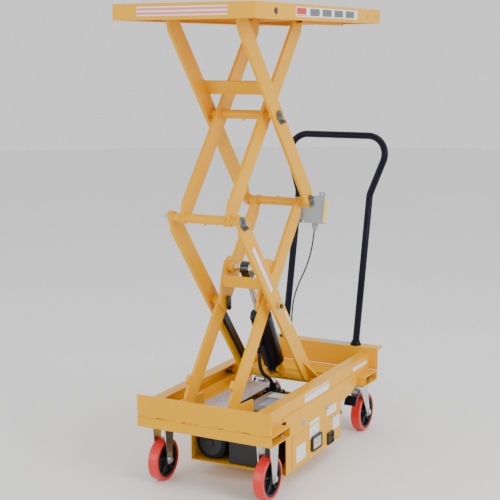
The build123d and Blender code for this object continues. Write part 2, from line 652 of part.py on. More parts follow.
def make_centre_pins():
    """Two short pins that join the lower arms beside the cylinder, with washers and oval keepers."""
    x, z = CENTRE_X, LOWER_CENTRE_Z
    outer = OUTER_ARM_Y[1]
    cheek = CHEEK_Y[0]
    pieces = []
    for _, side in SIDES:
        pin = mirrored_bar(x, z, PIN_R, cheek - 5, outer + 9, side)
        pieces.append(pin + mirrored_bar(x, z, 8, outer + 9, outer + 16, side))
        pieces.append(mirrored_ring(x, z, 19.5, PIN_R, outer + 0.4, outer + 3.4, side))
        pieces.append(mirrored_ring(x, z, BOSS_R, PIN_R, INNER_ARM_Y[1], OUTER_ARM_Y[0] - 0.4, side))
        keeper = mirrored_bar(x, z + 4, 15, cheek - 10, cheek - 5, side)
        keeper += mirrored_bar(x - 4, z - 24, 11, cheek - 10, cheek - 5, side)
        ends = sorted((side * (cheek - 10), side * (cheek - 5)))
        keeper += slab_xz([(x - 15, z + 4), (x + 15, z + 4), (x + 7, z - 24), (x - 15, z - 24)], *ends)
        keeper += mirrored_ring(x - 4, z - 24, 6, 3, cheek - 13, cheek - 10, side)
        pieces.append(keeper)
    return pieces


def make_prop_bar():
    """Black maintenance prop stowed on the inner face of the right lower outer arm."""
    y = -OUTER_ARM_Y[0]
    bar = slab_xz(LOWER_OUTER.outline([(84, -16), (84, 10), (374, 10), (374, -16)]), y, y + 14)
    x, z = LOWER_OUTER.at(360, -3)
    return bar + bar_y(x, z, 6, y, y + 20)


def make_arm_stops():
    """Square stops on the front edges of the lower inner arms above the base pivot."""
    half = ARM_WIDTH / 2
    outline = LOWER_INNER.outline([(78, half), (78, half + 22), (106, half + 22), (106, half)])
    return [slab_xz(outline, side * INNER_ARM_Y[0], side * INNER_ARM_Y[1]) for _, side in SIDES]


def make_cross_plate():
    """Flat tie plate between the upper outer arms."""
    outline = UPPER_OUTER.outline([(495, -30), (495, -24), (552, -24), (552, -30)])
    return slab_xz(outline, -OUTER_ARM_Y[0], OUTER_ARM_Y[0])


def make_roller(x, z, y0, y1, bore):
    roller = ring_y(x, z, ROLLER_R, bore, y0, y1)
    return chamfer(roller.edges().group_by(SortBy.LENGTH)[-1], 1.0)


# ---- platform ------------------------------------------------------------------------------------
def make_platform():
    """Folded sheet table top with a skirt all round and a return flange."""
    lx, ly = PLATFORM_LENGTH / 2, PLATFORM_WIDTH / 2
    sheet = PLATFORM_SHEET
    bottom = PLATFORM_TOP - PLATFORM_SKIRT
    top = fillet(box(-lx, lx, -ly, ly, bottom, PLATFORM_TOP).edges().filter_by(Axis.Z), 6)
    top = fillet(top.edges().group_by(Axis.Z)[-1], 3)
    lip = RETURN_FLANGE
    top -= box(-lx + sheet, lx - sheet, -ly + sheet, ly - sheet, bottom + sheet, PLATFORM_UNDER)
    top -= box(-lx + lip, lx - lip, -ly + lip, ly - lip, bottom - 1, bottom + sheet + 1)
    for x in (380, -380):
        top -= bar_y(x, PLATFORM_TOP - 26, 6, ly - 10, ly + 10)
    return top


def make_platform_tracks():
    """Two roller tracks under the rear of the platform, open towards each other's outside."""
    top = TOP_PIVOT_Z + ROLLER_R + 0.4
    floor = TOP_PIVOT_Z - ROLLER_R - 0.4
    pieces = []
    for _, side in SIDES:
        web0, web1, lip = side * 113.5, side * 117.5, side * 95
        x0, x1 = -486, -128
        track = box(x0, x1, web0, web1, floor - 4, PLATFORM_UNDER)
        track += box(x0, x1, lip, web1, floor - 4, floor)
        track += box(x0, x1, lip, web1, top, PLATFORM_UNDER)
        pieces.append(track)
    return pieces


def make_platform_pivots():
    """Hinge brackets under the front of the platform with their short pins."""
    x, z = FRONT_PIVOT_X, TOP_PIVOT_Z
    pieces = []
    outline = [(x - 42, PLATFORM_UNDER), (x + 42, PLATFORM_UNDER), (x + 18, z - 17), (x - 18, z - 17)]
    for _, side in SIDES:
        face = OUTER_ARM_Y[1] + 2
        bracket = slab_xz(outline, side * face, side * (face + 8)) - bar_y(x, z, PIN_R, -160, 160)
        pieces.extend([bracket, mirrored_bar(x, z, PIN_R, 118, face + 12, side)])
    return pieces


# ---- fasteners -----------------------------------------------------------------------------------
def make_chassis_fasteners():
    """Caster bolts, side panel bolts and cover screws."""
    pieces = []
    for x in (FRONT_AXLE_X, SWIVEL_X):
        for dx in (-42, 42):
            for _, side in SIDES:
                for dy in (-33, 33):
                    y = side * WHEEL_TRACK + dy
                    head = hexagon_z(x + dx, y, 13, TUBE_BOTTOM - 11, TUBE_BOTTOM - 5)
                    nut = hexagon_z(x + dx, y, 13, TUBE_BOTTOM + TUBE_WALL, TUBE_BOTTOM + 11)
                    pieces.extend([head, nut])
    y = RAIL_OUTER + TRAY_SHEET
    for x, z in ((94, 205), (-108, 205)):
        pieces.append(ring_y(x, z, 12, 4, y, y + 2))
        pieces.append(hexagon_y(x, z, 13, y + 2, y + 9))
    for x, z in ((177, 165), (177, 70), (52, 165), (52, 70)):
        pieces.append(bar_y(x, z, 4.5, y + 2, y + 4.5))
    for x, z in ((-149, 152), (-191, 155)):
        pieces.append(bar_y(x, z, 6, y, y + 5))
    return pieces


def write_chassis():
    for name, side in SIDES:
        rail, strip = make_rail(side)
        save(f"rail_{name}", rail, strip)
    save("front_crosstube", make_crosstube(CHASSIS_FRONT - FRONT_TUBE_DEPTH, CHASSIS_FRONT))
    save("rear_crosstube", make_crosstube(CHASSIS_REAR, CHASSIS_REAR + REAR_TUBE_DEPTH))
    save("front_end_plate", make_front_plate())
    save("rear_end_plate", make_rear_plate())
    save("base_pivots", *make_base_pivots())
    save("side_panel", make_side_panel())
    save("power_tray", make_power_tray())
    save("hydraulic_unit", *make_hydraulic_unit())
    save("battery", *make_battery())
    save("charger", make_charger())
    save("power_covers", *make_power_covers())
    save("panel_instruments", *make_panel_instruments())
    save("lowering_lever", make_lowering_lever())
    save("chassis_fasteners", *make_chassis_fasteners())
    save("push_handle", *make_push_handle())


def write_casters():
    forks, axles = [], []
    for name, side in SIDES:
        fork, axle = make_front_fork(side)
        forks.append(fork)
        axles.append(axle)
        for end, x in (("front", FRONT_AXLE_X), ("rear", SWIVEL_X - SWIVEL_TRAIL)):
            tread, core = make_wheel(x, side)
            save(f"{end}_tread_{name}", tread)
            save(f"{end}_wheel_core_{name}", core)
        save(f"swivel_fork_{name}", *make_swivel_fork(side))
        save(f"brake_pedal_{name}", make_brake_pedal(side))
    save("front_caster_forks", *forks, *axles)
    save("swivel_plates", *[make_swivel_plate(side) for _, side in SIDES])


def write_pendant():
    save("pendant_plate", make_pendant_plate())
    save("pendant_case", *make_pendant_case())
    for name, y, z, radius in BUTTONS:
        save(name, make_button(y, z, radius))
    save("pendant_cord", make_cord("pendant_cord", CORD_ROUTE, CORD_R))


def arm_pair(arm, span, low_r, mid_r, high_r, near_end=ARM_END, far_end=ARM_END):
    """The left and right arms of one pair, as two separate bars."""
    pair = []
    for _, side in SIDES:
        ends = sorted(side * y for y in span)
        pair.append(arm_plate(arm, ends[0], ends[1], low_r, mid_r, high_r, near_end, far_end))
    return pair


def roller_pair(x, z, y0, y1):
    """Left and right rollers at one axle, between two distances from the centre plane."""
    rollers = {}
    for name, side in SIDES:
        ends = sorted((side * y0, side * y1))
        rollers[name] = make_roller(x, z, ends[0], ends[1], AXLE_PIN_R + BUSH_CLEARANCE)
    return rollers


def write_lower_stage():
    loose = PIN_R + BUSH_CLEARANCE
    back_down = (-LOWER_OUTER.along[0], -LOWER_OUTER.along[1])
    save("lower_inner_arms",
         *arm_pair(LOWER_INNER, INNER_ARM_Y, loose, PIN_R, loose, far_end=ARM_SHORT_END))
    save("lower_outer_arms", *arm_pair(LOWER_OUTER, OUTER_ARM_Y, AXLE_PIN_R, loose, PIN_R),
         *outer_bosses(FRONT_PIVOT_X, MID_PIVOT_Z))
    save("lower_inner_tube", make_inner_tube(REAR_PIVOT_X, MID_PIVOT_Z),
         *spacers(REAR_PIVOT_X, MID_PIVOT_Z, BUSH_CLEARANCE), *make_arm_stops())
    save("cylinder_bracket", *make_cylinder_bracket())
    axle = bar_y(REAR_PIVOT_X, BASE_PIVOT_Z, AXLE_PIN_R, -218, 218)
    save("lower_outer_tube", *make_lower_outer_tube(), axle)
    save("front_mid_pin", *through_pin(FRONT_PIVOT_X, MID_PIVOT_Z, back_down))
    save("lower_centre_pins", *make_centre_pins())
    save("maintenance_prop", make_prop_bar())
    for name, roller in roller_pair(REAR_PIVOT_X, BASE_PIVOT_Z, 193, 217).items():
        save(f"lower_roller_{name}", roller)


def write_upper_stage():
    loose = PIN_R + BUSH_CLEARANCE
    open_r = PIN_R + OPEN_CLEARANCE
    front_up = UPPER_OUTER.along
    back_down = (-front_up[0], -front_up[1])
    save("upper_inner_arms",
         *arm_pair(UPPER_INNER, INNER_ARM_Y, open_r, loose, AXLE_PIN_R, ARM_SHORT_END, ARM_SHORT_END))
    save("upper_outer_arms", *arm_pair(UPPER_OUTER, OUTER_ARM_Y, PIN_R, PIN_R, loose),
         *outer_bosses(REAR_PIVOT_X, MID_PIVOT_Z), *outer_bosses(CENTRE_X, UPPER_CENTRE_Z))
    axle = bar_y(REAR_PIVOT_X, TOP_PIVOT_Z, AXLE_PIN_R, -112.5, 112.5)
    save("upper_inner_tubes", make_inner_tube(FRONT_PIVOT_X, MID_PIVOT_Z, nipple_up=False),
         make_inner_tube(CENTRE_X, UPPER_CENTRE_Z, nipple_up=False),
         *spacers(CENTRE_X, UPPER_CENTRE_Z, BUSH_CLEARANCE),
         *spacers(FRONT_PIVOT_X, MID_PIVOT_Z, OPEN_CLEARANCE), axle)
    save("upper_cross_plate", make_cross_plate())
    save("upper_pins", *through_pin(REAR_PIVOT_X, MID_PIVOT_Z, front_up),
         *through_pin(CENTRE_X, UPPER_CENTRE_Z, back_down))
    for name, roller in roller_pair(REAR_PIVOT_X, TOP_PIVOT_Z, 96.5, 112).items():
        save(f"upper_roller_{name}", roller)


def write_platform():
    save("platform_top", make_platform())
    save("platform_tracks", *make_platform_tracks())
    save("platform_pivots", *make_platform_pivots())


def write_cylinder():
    save("cylinder_barrel", make_barrel())
    save("cylinder_rod", *make_rod())
    save("hydraulic_hose", make_cord("hydraulic_hose", HOSE_ROUTE, HOSE_R))


write_chassis()
write_casters()
write_pendant()
write_lower_stage()
write_upper_stage()
write_platform()
write_cylinder()
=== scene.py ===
import json
import math

import bmesh
import bpy
from mathutils import Matrix, Vector


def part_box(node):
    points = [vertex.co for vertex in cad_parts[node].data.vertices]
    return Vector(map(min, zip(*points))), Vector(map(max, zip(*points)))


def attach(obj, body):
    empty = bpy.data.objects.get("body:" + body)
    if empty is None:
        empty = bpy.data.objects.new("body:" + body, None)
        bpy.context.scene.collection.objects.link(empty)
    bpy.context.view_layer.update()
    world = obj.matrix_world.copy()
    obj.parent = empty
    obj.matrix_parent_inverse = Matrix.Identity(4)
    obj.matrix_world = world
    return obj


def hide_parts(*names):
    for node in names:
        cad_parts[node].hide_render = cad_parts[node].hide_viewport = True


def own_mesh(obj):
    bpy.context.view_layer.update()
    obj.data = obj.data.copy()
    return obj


# Scissor lift table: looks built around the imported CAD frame.  Everything is in metres.

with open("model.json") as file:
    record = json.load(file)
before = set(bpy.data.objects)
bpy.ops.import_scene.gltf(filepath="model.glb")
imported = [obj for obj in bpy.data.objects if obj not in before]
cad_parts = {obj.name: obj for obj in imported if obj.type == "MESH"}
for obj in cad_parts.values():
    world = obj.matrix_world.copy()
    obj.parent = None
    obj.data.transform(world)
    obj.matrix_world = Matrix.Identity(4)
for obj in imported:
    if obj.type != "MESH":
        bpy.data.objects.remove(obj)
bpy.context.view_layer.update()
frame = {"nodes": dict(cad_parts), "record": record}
JOINTS = {j["name"]: j for j in frame["record"]["behaviour"]["joints"]}

# ---- places taken from the frame -----------------------------------------------------------------
BASE_PIVOT = Vector(JOINTS["lift"]["pos_m"])
REAR_MID = Vector(JOINTS["rear_mid"]["pos_m"])
UPPER_CROSS = Vector(JOINTS["upper_cross"]["pos_m"])
FRONT_MID = Vector((BASE_PIVOT.x, 0, REAR_MID.z))
ROLLER_PIVOT = Vector((REAR_MID.x, 0, BASE_PIVOT.z))
ARM_ANGLE = math.atan2(REAR_MID.z - BASE_PIVOT.z, BASE_PIVOT.x - REAR_MID.x)
PLATFORM_LOW, PLATFORM_HIGH = (Vector(c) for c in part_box("platform_top"))
PANEL_HIGH = Vector(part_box("side_panel")[1])
RAIL_HIGH = Vector(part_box("rail_left")[1])
CHARGER_HIGH = Vector(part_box("charger")[1])
REAR_HIGH = Vector(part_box("rear_end_plate")[1])
FRONT_LOW, FRONT_HIGH = (Vector(c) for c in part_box("front_end_plate"))
TUBE_HIGH = Vector(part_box("front_crosstube")[1])
ROD_HIGH = Vector(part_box("cylinder_rod")[1])
SIDES = (("left", 1), ("right", -1))
MM = 0.001
MIDDLE_X = (PLATFORM_LOW.x + PLATFORM_HIGH.x) / 2
OUTER_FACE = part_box("lower_outer_arms")[1].y
INNER_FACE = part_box("lower_inner_arms")[1].y
ROD_EYE_RADIUS = 24 * MM
ROD_EYE = Vector((ROD_HIGH.x - ROD_EYE_RADIUS, 0, ROD_HIGH.z - ROD_EYE_RADIUS))
ARM_THICKNESS = 11 * MM
WELD_RADIUS = 2.2 * MM
SKIN = 0.35 * MM
EDGE_BEVEL = 0.8 * MM
SHARP_ANGLE = math.radians(38)


def at(x, y, z):
    """A place given from the centre of the platform, in the frame's own axes."""
    return Vector((x + MIDDLE_X, y, z))


def srgb(red, green, blue):
    """Linear colour from 0-255 display values."""
    def linear(v):
        v /= 255
        return v / 12.92 if v <= 0.04045 else ((v + 0.055) / 1.055) ** 2.4
    return (linear(red), linear(green), linear(blue), 1.0)


# ---- materials -----------------------------------------------------------------------------------
class Shader:
    """A principled material with short calls for the nodes used here."""

    def __init__(self, name, roughness=0.4, metallic=0.0, coat=0.0, coat_roughness=0.1):
        self.material = bpy.data.materials.new(name)
        self.material.use_nodes = True
        self.tree = self.material.node_tree
        self.bsdf = self.tree.nodes["Principled BSDF"]
        self.set("Roughness", roughness)
        self.set("Metallic", metallic)
        self.set("Coat Weight", coat)
        self.set("IOR", 1.45)
        self.set("Coat Roughness", coat_roughness)
        self.coords = self.node("ShaderNodeTexCoord").outputs["Object"]

    def node(self, kind, **settings):
        made = self.tree.nodes.new(kind)
        for key, value in settings.items():
            setattr(made, key, value)
        return made

    def link(self, a, b):
        self.tree.links.new(a, b)

    def set(self, socket, value):
        self.bsdf.inputs[socket].default_value = value

    def scaled(self, scale):
        mapping = self.node("ShaderNodeMapping")
        mapping.inputs["Scale"].default_value = scale
        self.link(self.coords, mapping.inputs["Vector"])
        return mapping.outputs["Vector"]

    def noise(self, scale, detail=3.0, stretch=None):
        made = self.node("ShaderNodeTexNoise")
        made.inputs["Scale"].default_value = scale
        made.inputs["Detail"].default_value = detail
        self.link(self.scaled(stretch) if stretch else self.coords, made.inputs["Vector"])
        return made.outputs["Fac"]

    def mix(self, factor, a, b):
        made = self.node("ShaderNodeMix", data_type="RGBA")
        self.link(factor, made.inputs["Factor"])
        for value, slot in ((a, 6), (b, 7)):
            if isinstance(value, tuple):
                made.inputs[slot].default_value = value
            else:
                self.link(value, made.inputs[slot])
        return made.outputs[2]

    def colour(self, value):
        self.link(value, self.bsdf.inputs["Base Color"])

    def rough(self, value, low, high):
        spread = self.node("ShaderNodeMapRange")
        spread.inputs["To Min"].default_value = low
        spread.inputs["To Max"].default_value = high
        self.link(value, spread.inputs["Value"])
        self.link(spread.outputs["Result"], self.bsdf.inputs["Roughness"])

    def bump(self, value, strength, distance):
        made = self.node("ShaderNodeBump")
        made.inputs["Strength"].default_value = strength
        made.inputs["Distance"].default_value = distance
        self.link(value, made.inputs["Height"])
        self.link(made.outputs["Normal"], self.bsdf.inputs["Normal"])


def paint_material(name, light, dark, roughness=0.34):
    """Powder coat: orange peel, faint tone drift and a little dust in the gloss."""
    s = Shader(name, roughness, coat=0.12, coat_roughness=0.15)
    s.set("Specular Tint", (light[0], light[1], max(light[2], 0.25), 1.0))
    s.colour(s.mix(s.noise(5.0, 4.0), dark, light))
    s.rough(s.noise(22.0, 5.0), roughness - 0.08, roughness + 0.12)
    s.bump(s.noise(260.0, 2.0), 0.12, 0.0006)
    return s.material


def metal_material(name, light, dark, roughness, stretch=(1, 1, 1), bump=0.05):
    """Plated or turned metal with faint streaks."""
    s = Shader(name, roughness, metallic=1.0)
    s.colour(s.mix(s.noise(30.0, 5.0, stretch), dark, light))
    s.rough(s.noise(90.0, 4.0, stretch), roughness - 0.08, roughness + 0.14)
    s.bump(s.noise(500.0, 2.0, stretch), bump, 0.0004)
    return s.material


def plastic_material(name, light, dark, roughness=0.45, grain=900.0, bump=0.12, coat=0.0):
    """Moulded plastic or rubber with a fine spark-eroded grain."""
    s = Shader(name, roughness, coat=coat)
    s.colour(s.mix(s.noise(14.0, 3.0), dark, light))
    s.rough(s.noise(60.0, 3.0), roughness - 0.06, roughness + 0.1)
    s.bump(s.noise(grain, 2.0), bump, 0.0003)
    return s.material


def label_material(name, bands):
    """Printed vinyl: bands are (height it starts at, colour), lowest first, in the frame's metres."""
    s = Shader(name, 0.38, coat=0.2)
    parts = s.node("ShaderNodeSeparateXYZ")
    s.link(s.coords, parts.inputs["Vector"])
    colour = s.mix(s.noise(40.0, 4.0), bands[0][1], tuple(c * 0.92 for c in bands[0][1][:3]) + (1.0,))
    for start, tone in bands[1:]:
        edge = s.node("ShaderNodeMath", operation="GREATER_THAN")
        edge.inputs[1].default_value = start
        s.link(parts.outputs["Z"], edge.inputs[0])
        colour = s.mix(edge.outputs[0], colour, tone)
    s.colour(colour)
    s.bump(s.noise(300.0, 2.0), 0.06, 0.0003)
    return s.material


YELLOW = (0.84, 0.43, 0.0, 1.0)
YELLOW_DEEP = (0.76, 0.36, 0.0, 1.0)
MATERIALS = {
    "paint": paint_material("yellow_powder_coat", YELLOW, YELLOW_DEEP),
    "black_paint": paint_material("black_enamel", srgb(30, 30, 31), srgb(17, 17, 18), 0.2),
    "zinc": metal_material("zinc_plate", srgb(222, 228, 230), srgb(188, 194, 198), 0.3, (1, 1, 6)),
    "steel": metal_material("turned_steel", srgb(170, 172, 174), srgb(120, 122, 124), 0.32, (1, 8, 1)),
    "chrome": metal_material("hard_chrome", srgb(235, 237, 240), srgb(222, 225, 228), 0.1, (1, 1, 9), 0.01),
    "tread": plastic_material("red_polyurethane", srgb(226, 42, 34), srgb(205, 28, 26), 0.3, 500.0, 0.05,
                              0.2),
    "core": plastic_material("black_wheel_core", srgb(34, 36, 40), srgb(20, 21, 24), 0.42),
    "black_plastic": plastic_material("black_moulding", srgb(36, 39, 44), srgb(22, 24, 28), 0.4),
    "yellow_plastic": plastic_material("yellow_moulding", srgb(250, 226, 110), srgb(244, 214, 90), 0.35),
    "red_plastic": plastic_material("red_moulding", srgb(214, 36, 28), srgb(190, 24, 20), 0.3, coat=0.4),
    "cord": plastic_material("black_sheath", srgb(30, 31, 33), srgb(18, 19, 21), 0.5, 700.0, 0.2),
    "cover_sheet": plastic_material("pale_cover_sheet", srgb(196, 194, 204), srgb(176, 172, 184), 0.25,
                                    120.0, 0.03, 0.3),
    "grey_paint": paint_material("grey_brown_case", srgb(138, 124, 110), srgb(118, 105, 94), 0.4),
}
MATERIALS["gloss_black"] = plastic_material("gloss_black_block", srgb(18, 19, 21), srgb(8, 9, 10), 0.2,
                                            300.0, 0.02, 0.5)
MATERIALS["dark_zinc"] = metal_material("dark_zinc_keeper", srgb(150, 158, 164), srgb(92, 100, 108), 0.36)
MATERIALS["plate_grey"] = plastic_material("grey_coated_plate", srgb(158, 164, 164), srgb(142, 148, 149),
                                           0.4)
MATERIALS["brass"] = metal_material("brass_fitting", srgb(214, 178, 96), srgb(180, 140, 70), 0.3)
WHITE_VINYL = srgb(236, 238, 240)
PALE_RED = srgb(238, 128, 112)
SLATE = srgb(98, 104, 108)
PALE_BLUE = srgb(150, 172, 204)


def dress_nodes():
    """Each CAD node takes its slot's material and a fine bevel that catches the light."""
    slots = {row["node"]: row["material_slot"] for row in frame["record"]["subparts"]}
    for name, obj in frame["nodes"].items():
        obj.data.materials.clear()
        obj.data.materials.append(MATERIALS[slots[name]])
        for polygon in obj.data.polygons:
            polygon.use_smooth = True
            polygon.material_index = 0
        bevel = obj.modifiers.new("edge_bevel", "BEVEL")
        bevel.width = EDGE_BEVEL
        bevel.segments = 2
        bevel.limit_method = "ANGLE"
        bevel.angle_limit = SHARP_ANGLE
        bevel.harden_normals = True


def repaint(node, material, chosen):
    """Give part of a CAD node another finish, face by face."""
    mesh = frame["nodes"][node].data
    mesh.materials.append(MATERIALS[material])
    index = len(mesh.materials) - 1
    for polygon in mesh.polygons:
        if chosen(polygon.center):
            polygon.material_index = index


def radius_about(spot, centre):
    return math.hypot(spot.x - centre.x, spot.z - centre.z)


def repaint_pins():
    """Keepers, washers and the shafts between the arms take the finish each one has."""
    proud = OUTER_FACE + 0.5 * MM
    for node in ("front_mid_pin", "upper_pins"):
        repaint(node, "dark_zinc", lambda c: c.y > proud)
        repaint(node, "zinc", lambda c: c.y < -proud)
    stub_end, washer, boss = 67 * MM, OUTER_FACE + 4 * MM, OUTER_FACE + 10 * MM
    spacer_start, spacer_end = 90 * MM, OUTER_FACE - 6 * MM
    pins = "lower_centre_pins"
    repaint(pins, "gloss_black", lambda c: abs(c.y) < stub_end or abs(c.y) > boss)
    repaint(pins, "zinc", lambda c: OUTER_FACE < abs(c.y) < washer)
    repaint(pins, "paint", lambda c: washer < abs(c.y) < boss)
    repaint(pins, "paint", lambda c: spacer_start < abs(c.y) < spacer_end)
    repaint("platform_pivots", "steel", lambda c: abs(c.y) < OUTER_FACE + 1 * MM)


def repaint_cylinder():
    """The rod's eye is a black block and the pin through it is chrome."""
    block_radius, pin_radius, pin_reach = 46 * MM, 12.5 * MM, 48.5 * MM
    repaint("cylinder_rod", "gloss_black", lambda c: radius_about(c, ROD_EYE) < block_radius)
    repaint("cylinder_bracket", "chrome",
            lambda c: radius_about(c, ROD_EYE) < pin_radius and abs(c.y) < pin_reach)


def repaint_small_parts():
    """Nodes whose upper or lower stretch is made of something else; heights are above the floor."""
    cover_top, knob_top, casing_foot = 0.22, 0.135, 0.793
    post_foot, gland_top, gland_reach = 0.1965, 0.36, 0.14
    repaint("power_covers", "cover_sheet", lambda c: c.z > cover_top)
    repaint("lowering_lever", "black_plastic", lambda c: c.z < knob_top)
    repaint("pendant_case", "plate_grey", lambda c: c.z < casing_foot)
    repaint("pendant_plate", "plate_grey", lambda c: True)
    repaint("battery", "brass", lambda c: c.z > post_foot)
    repaint("push_handle", "black_plastic", lambda c: c.z < gland_top and abs(c.y) < gland_reach)


# ---- mesh helpers --------------------------------------------------------------------------------
def finish_mesh(name, mesh_builder, material, body, bevel=0.0, sharp_angle=SHARP_ANGLE):
    """Turn a bmesh into a named piece that rides on a body."""
    mesh = bpy.data.meshes.new(name)
    bmesh.ops.recalc_face_normals(mesh_builder, faces=mesh_builder.faces)
    mesh_builder.to_mesh(mesh)
    mesh_builder.free()
    obj = bpy.data.objects.new(name, mesh)
    bpy.context.collection.objects.link(obj)
    mesh.materials.append(MATERIALS[material] if isinstance(material, str) else material)
    for polygon in mesh.polygons:
        polygon.use_smooth = True
    mesh.set_sharp_from_angle(angle=sharp_angle)
    if bevel:
        modifier = obj.modifiers.new("bevel", "BEVEL")
        modifier.width = bevel
        modifier.segments = 3
        modifier.limit_method = "ANGLE"
        modifier.harden_normals = True
    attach(obj, body)
    return obj


def basis(axis, up=None):
    """Rotation whose local Z is the axis."""
    z = Vector(axis).normalized()
    hint = Vector(up) if up else (Vector((0, 0, 1)) if abs(z.z) < 0.9 else Vector((1, 0, 0)))
    x = (hint - z * hint.dot(z)).normalized()
    y = z.cross(x)
    return Matrix((x, y, z)).transposed().to_4x4()


def add_block(bm, low, high):
    """Closed block between two corners."""
    corners = [(x, y, z) for x in (low[0], high[0]) for y in (low[1], high[1]) for z in (low[2], high[2])]
    v = [bm.verts.new(Vector(c)) for c in corners]
    for face in ((0, 1, 3, 2), (4, 6, 7, 5), (0, 4, 5, 1), (2, 3, 7, 6), (0, 2, 6, 4), (1, 5, 7, 3)):
        bm.faces.new([v[i] for i in face])


def block(name, low, high, material, body, bevel=EDGE_BEVEL):
    bm = bmesh.new()
    add_block(bm, low, high)
    return finish_mesh(name, bm, material, body, bevel)


def add_lathe(bm, profile, matrix, segments=40):
    """Closed solid of revolution about the matrix's Z; profile points are (radius, height)."""
    rings = []
    for radius, height in profile:
        if radius < 1e-6:
            rings.append([bm.verts.new(matrix @ Vector((0, 0, height)))])
            continue
        ring = []
        for n in range(segments):
            a = math.tau * n / segments
            ring.append(bm.verts.new(matrix @ Vector((radius * math.cos(a), radius * math.sin(a), height))))
        rings.append(ring)
    closed = profile[0][0] > 1e-6
    pairs = list(zip(rings, rings[1:]))
    if closed:
        pairs.append((rings[-1], rings[0]))
    for low, high in pairs:
        join_rings(bm, low, high)


def join_rings(bm, low, high):
    """Faces between two rings; a ring of one vertex makes a fan."""
    count = max(len(low), len(high))
    for n in range(count):
        m = (n + 1) % count
        if len(low) == 1:
            bm.faces.new((low[0], high[m], high[n]))
        elif len(high) == 1:
            bm.faces.new((low[n], low[m], high[0]))
        else:
            bm.faces.new((low[n], low[m], high[m], high[n]))


def lathe(name, profile, place, axis, material, body, segments=40):
    bm = bmesh.new()
    add_lathe(bm, profile, Matrix.Translation(place) @ basis(axis), segments)
    return finish_mesh(name, bm, material, body)


def tube_mesh(name, points, radius, material, body):
    """Round tube swept along a smooth NURBS line through given control points."""
    curve = bpy.data.curves.new(name, "CURVE")
    curve.dimensions = "3D"
    curve.bevel_depth = radius
    curve.bevel_resolution = 4
    curve.use_fill_caps = True
    curve.resolution_u = 10
    spline = curve.splines.new("NURBS")
    spline.points.add(len(points) - 1)
    for spot, point in zip(spline.points, points):
        spot.co = (*point, 1.0)
    spline.order_u = 3
    spline.use_endpoint_u = True
    obj = bpy.data.objects.new(name, curve)
    bpy.context.collection.objects.link(obj)
    curve.materials.append(MATERIALS[material])
    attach(obj, body)
    return obj


def add_weld(bm, start, end, radius, pitch=3.2 * MM):
    """Rippled weld bead along a straight seam."""
    start, end = Vector(start), Vector(end)
    length = (end - start).length
    steps = max(4, int(length / pitch) * 4)
    matrix = Matrix.Translation(start) @ basis(end - start)
    profile = [(0, 0)]
    for n in range(steps + 1):
        ripple = 0.86 + 0.14 * abs(math.sin(math.pi * n / 4))
        taper = min(1.0, 0.35 + 0.4 * min(n, steps - n))
        profile.append((radius * ripple * taper, length * n / steps))
    profile.append((0, length))
    add_lathe(bm, profile, matrix, 10)


def welds(name, seams, radius, body):
    bm = bmesh.new()
    for start, end in seams:
        add_weld(bm, start, end, radius)
    return finish_mesh(name, bm, "paint", body, sharp_angle=math.radians(60))


def arm_point(pivot, leans_back, s, o, y):
    """Point on a scissor arm: s along it from its lower pivot, o towards the front."""
    sign = -1 if leans_back else 1
    along = Vector((sign * math.cos(ARM_ANGLE), 0, math.sin(ARM_ANGLE)))
    across = Vector((math.sin(ARM_ANGLE), 0, -sign * math.cos(ARM_ANGLE)))
    return pivot + along * s + across * o + Vector((0, y, 0))


def label(name, corners, material, body):
    """Thin sheet with rounded corners laid on a face; corners run round the face."""
    bm = bmesh.new()
    corners = [Vector(c) for c in corners]
    normal = (corners[1] - corners[0]).cross(corners[3] - corners[0]).normalized()
    radius = 1.5 * MM
    outline = []
    for n, corner in enumerate(corners):
        before = (corners[n - 1] - corner).normalized() * radius
        after = (corners[(n + 1) % 4] - corner).normalized() * radius
        for k in range(4):
            t = math.radians(30 * k)
            outline.append(corner + before * (1 - math.sin(t)) + after * (1 - math.cos(t)))
    low = [bm.verts.new(p) for p in outline]
    high = [bm.verts.new(p + normal * SKIN) for p in outline]
    bm.faces.new(low[::-1])
    bm.faces.new(high)
    for n in range(len(low)):
        m = (n + 1) % len(low)
        bm.faces.new((low[n], low[m], high[m], high[n]))
    return finish_mesh(name, bm, material, body, sharp_angle=math.radians(20))


def face_label(name, x0, x1, z0, z1, y, material, body):
    """Label on a face that looks to +Y."""
    return label(name, [(x1, y, z0), (x0, y, z0), (x0, y, z1), (x1, y, z1)], material, body)


def front_label(name, y0, y1, z0, z1, x, material, body):
    """Label on a face that looks to +X."""
    return label(name, [(x, y0, z0), (x, y1, z0), (x, y1, z1), (x, y0, z1)], material, body)


# ---- camera, lights and floor --------------------------------------------------------------------
def make_camera():
    data = bpy.data.cameras.new("camera")
    data.lens = 84.38
    data.sensor_width = 36.0
    camera = bpy.data.objects.new("camera", data)
    bpy.context.collection.objects.link(camera)
    eye = at(3.6777, 1.9107, 1.4944)
    forward = Vector((-0.8718, -0.4600, -0.1683)).normalized()
    right = forward.cross(Vector((0, 0, 1))).normalized()
    up = right.cross(forward)
    roll = math.radians(-0.23)
    right_r = right * math.cos(roll) + up * math.sin(roll)
    up_r = up * math.cos(roll) - right * math.sin(roll)
    turn = Matrix((right_r, up_r, -forward)).transposed().to_4x4()
    camera.matrix_world = Matrix.Translation(eye) @ turn
    bpy.context.scene.camera = camera


def area_light(name, place, target, size, power):
    data = bpy.data.lights.new(name, "AREA")
    data.shape = "RECTANGLE"
    data.size, data.size_y = size
    data.energy = power
    obj = bpy.data.objects.new(name, data)
    bpy.context.collection.objects.link(obj)
    direction = Vector(target) - Vector(place)
    obj.matrix_world = Matrix.Translation(place) @ direction.to_track_quat("-Z", "Y").to_matrix().to_4x4()


